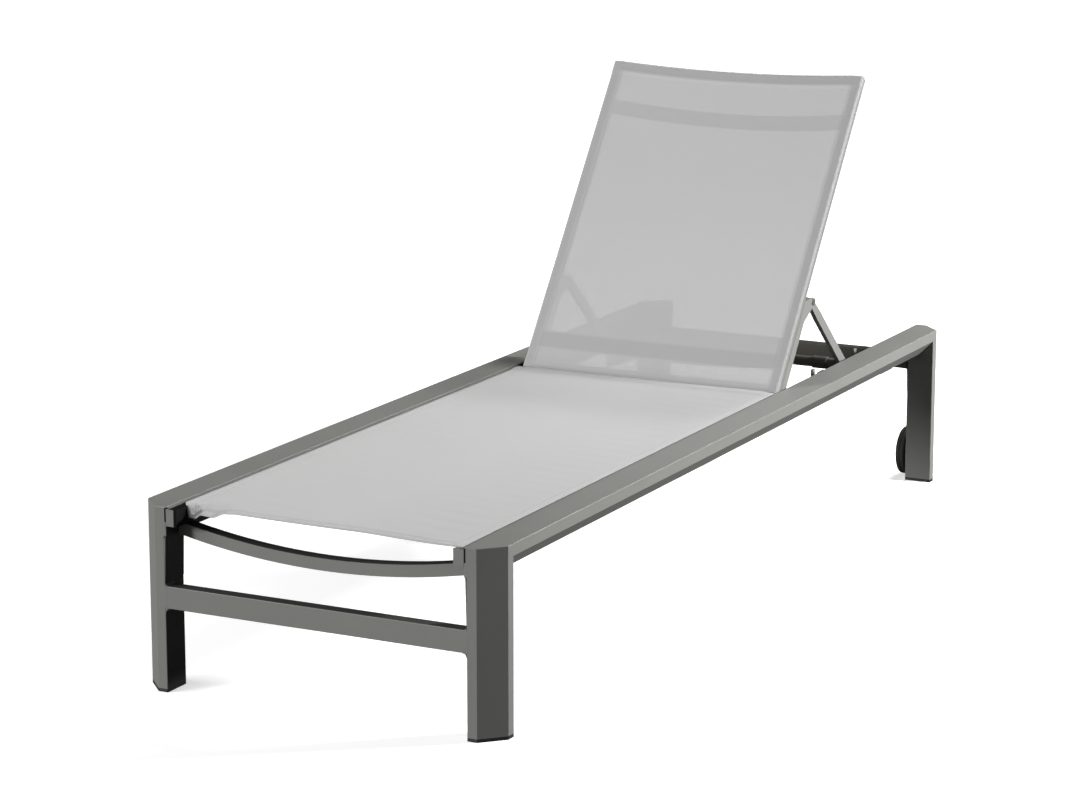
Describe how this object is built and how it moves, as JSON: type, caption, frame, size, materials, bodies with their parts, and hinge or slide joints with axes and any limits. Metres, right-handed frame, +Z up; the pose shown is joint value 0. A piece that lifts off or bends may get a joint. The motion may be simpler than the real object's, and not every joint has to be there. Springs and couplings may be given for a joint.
{
  "type": "sun lounger",
  "caption": "Low sun lounger: square-tube frame with bevelled corners, sling seat, sling back that tilts on a prop in notched racks, and wheels behind the rear legs.",
  "frame": {"origin": "on the ground at the middle of the whole footprint, wheels counted in", "axes": "+X across the lounger, to the right of someone who looks from the foot end to the head end; +Y from the foot end to the head end; +Z up"},
  "size_m": [0.68, 2.05, 0.877],
  "materials": {
    "frame_coating": "satin",
    "sling_fabric": "matte",
    "black_plastic": "matte",
    "edge_cord": "matte",
    "tyre_rubber": "matte",
    "hardware": "satin"
  },
  "bodies": {
    "frame": {"left_side_rail": "frame_coating", "right_side_rail": "frame_coating", "left_front_leg": "frame_coating", "right_front_leg": "frame_coating", "left_rear_leg": "frame_coating", "right_rear_leg": "frame_coating", "left_seat_rail": "frame_coating", "right_seat_rail": "frame_coating", "left_rack": "frame_coating", "right_rack": "frame_coating", "left_wheel_bracket": "frame_coating", "right_wheel_bracket": "frame_coating", "front_crossbar": "frame_coating", "rear_crossbar": "frame_coating", "leg_glides": "black_plastic", "seat_rail_caps": "frame_coating", "seat_rail_screws": "hardware", "front_seat_spreader": "frame_coating", "rear_seat_spreader": "frame_coating", "seat_fabric": "sling_fabric", "seat_edge_cords": "edge_cord", "hinge_bolts": "hardware", "hinge_spacers": "black_plastic", "hinge_nuts": "hardware", "rack_screws": "hardware", "wheel_bracket_screws": "hardware", "wheel_axles": "hardware", "wheel_washers": "hardware"},
    "backrest": {"left_back_rail": "frame_coating", "right_back_rail": "frame_coating", "left_support_arm": "frame_coating", "right_support_arm": "frame_coating", "back_rail_caps": "frame_coating", "lower_back_spreader": "frame_coating", "upper_back_spreader": "frame_coating", "back_fabric": "sling_fabric", "back_edge_cords": "edge_cord", "support_arm_screws": "hardware", "prop_pivot_pins": "hardware"},
    "prop": {"left_prop_arm": "frame_coating", "right_prop_arm": "frame_coating", "prop_cross_tube": "frame_coating", "rack_sleeves": "black_plastic"},
    "left_wheel": {"left_wheel_rim": "black_plastic", "left_tyre": "tyre_rubber"},
    "right_wheel": {"right_wheel_rim": "black_plastic", "right_tyre": "tyre_rubber"}
  },
  "joints": [
    {"name": "back_hinge", "type": "hinge", "parent": "frame", "child": "backrest", "pos_m": [0, 0.266, 0.29], "axis": [1, 0, 0], "range_deg": [-53.6, 0]},
    {"name": "prop_pivot", "type": "hinge", "parent": "backrest", "child": "prop", "pos_m": [0, 0.42738, 0.46423], "axis": [1, 0, 0], "range_deg": [0, 100.8]},
    {"name": "left_wheel_spin", "type": "hinge", "parent": "frame", "child": "left_wheel", "pos_m": [-0.268, 0.975, 0.051], "axis": [1, 0, 0], "continuous": true},
    {"name": "right_wheel_spin", "type": "hinge", "parent": "frame", "child": "right_wheel", "pos_m": [0.268, 0.975, 0.051], "axis": [1, 0, 0], "continuous": true}
  ],
  "couplings": [
    {"joint": "prop_pivot", "follows": "back_hinge", "ratio": -1.879}
  ]
}
